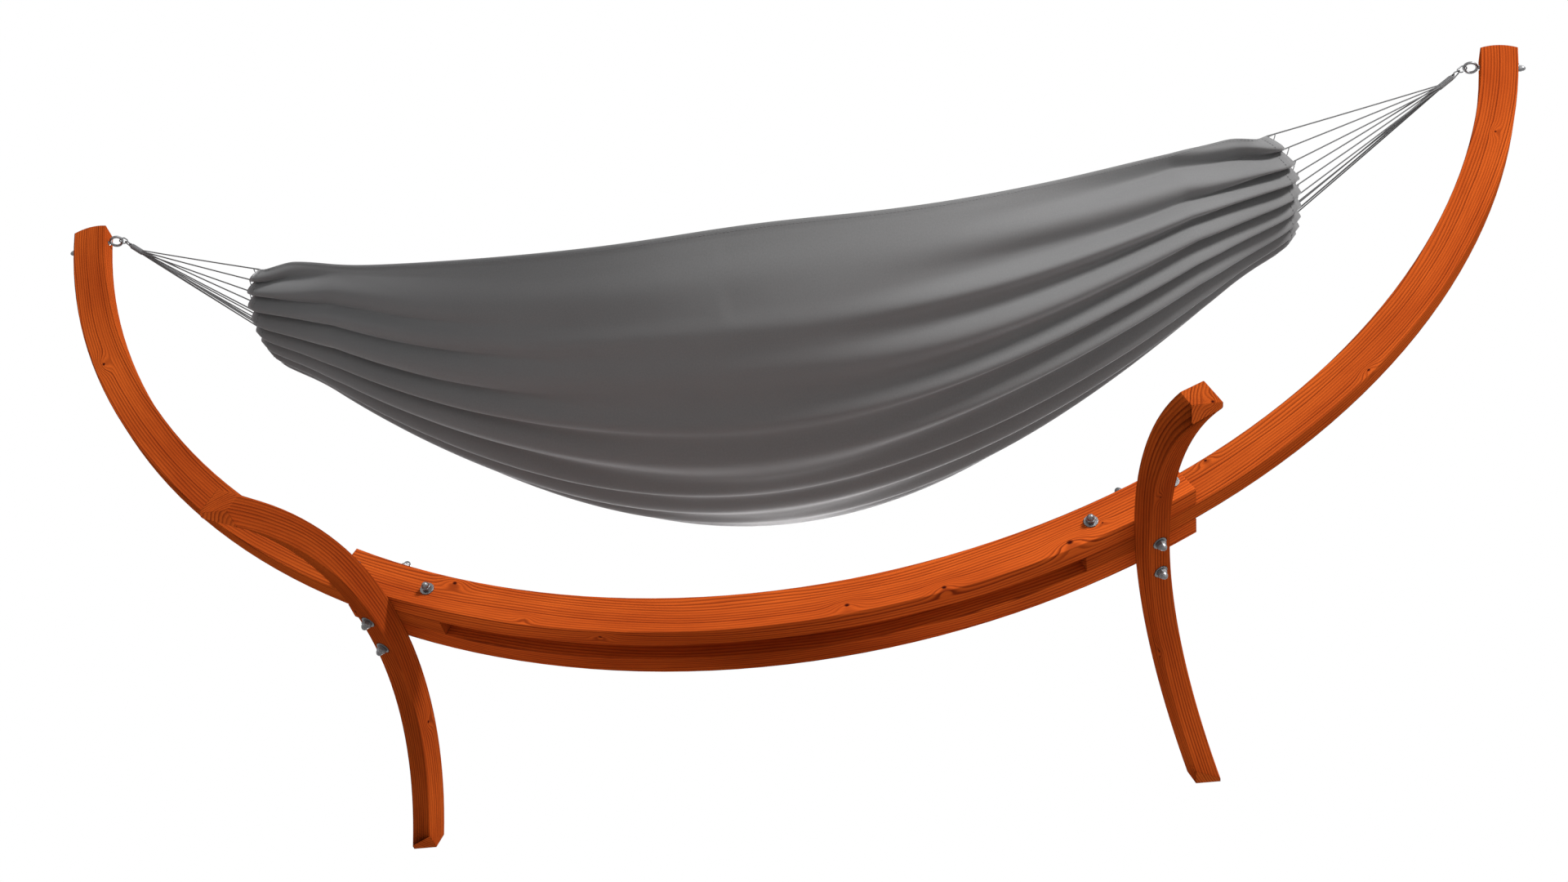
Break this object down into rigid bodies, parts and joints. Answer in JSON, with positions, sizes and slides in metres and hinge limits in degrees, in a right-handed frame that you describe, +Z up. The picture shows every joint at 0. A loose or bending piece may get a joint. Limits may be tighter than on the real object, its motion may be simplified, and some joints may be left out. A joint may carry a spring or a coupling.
{
  "type": "hammock on stand",
  "caption": "Free-standing hammock: a curved timber bow on arched legs, with a gathered canvas hammock hung on cords between eye bolts.",
  "frame": {"origin": "on the ground under the middle of the bow", "axes": "+X along the bow to the right, +Y to the back, +Z up"},
  "size_m": [3.4648, 1.186, 1.4607],
  "materials": {
    "timber": "stained and oiled softwood",
    "bolt_steel": "zinc plated",
    "ring_steel": "zinc plated",
    "cord": "twisted grey cord",
    "canvas": "charcoal grey woven canvas"
  },
  "bodies": {
    "stand": {"left_arm": "timber", "right_arm": "timber", "front_beam": "timber", "back_beam": "timber", "left_leg": "timber", "right_leg": "timber", "clamp_bolts": "bolt_steel", "clamp_nut_washers": "bolt_steel", "clamp_head_washers": "bolt_steel", "clamp_nuts": "bolt_steel", "leg_bolts": "bolt_steel", "leg_head_washers": "bolt_steel", "leg_washers": "bolt_steel", "leg_nuts": "bolt_steel", "eye_bolts": "bolt_steel", "eye_washers": "bolt_steel", "eye_nuts": "bolt_steel"},
    "hammock": {"links": "ring_steel", "delta_rings": "ring_steel", "sleeves": "cord", "left_cords": "cord", "right_cords": "cord", "cloth": "canvas"}
  },
  "joints": [
    {"name": "hammock_swing", "type": "hinge", "parent": "stand", "child": "hammock", "pos_m": [0, 0, 1.4237], "axis": [1, 0, 0], "range_deg": [-30, 30]}
  ]
}
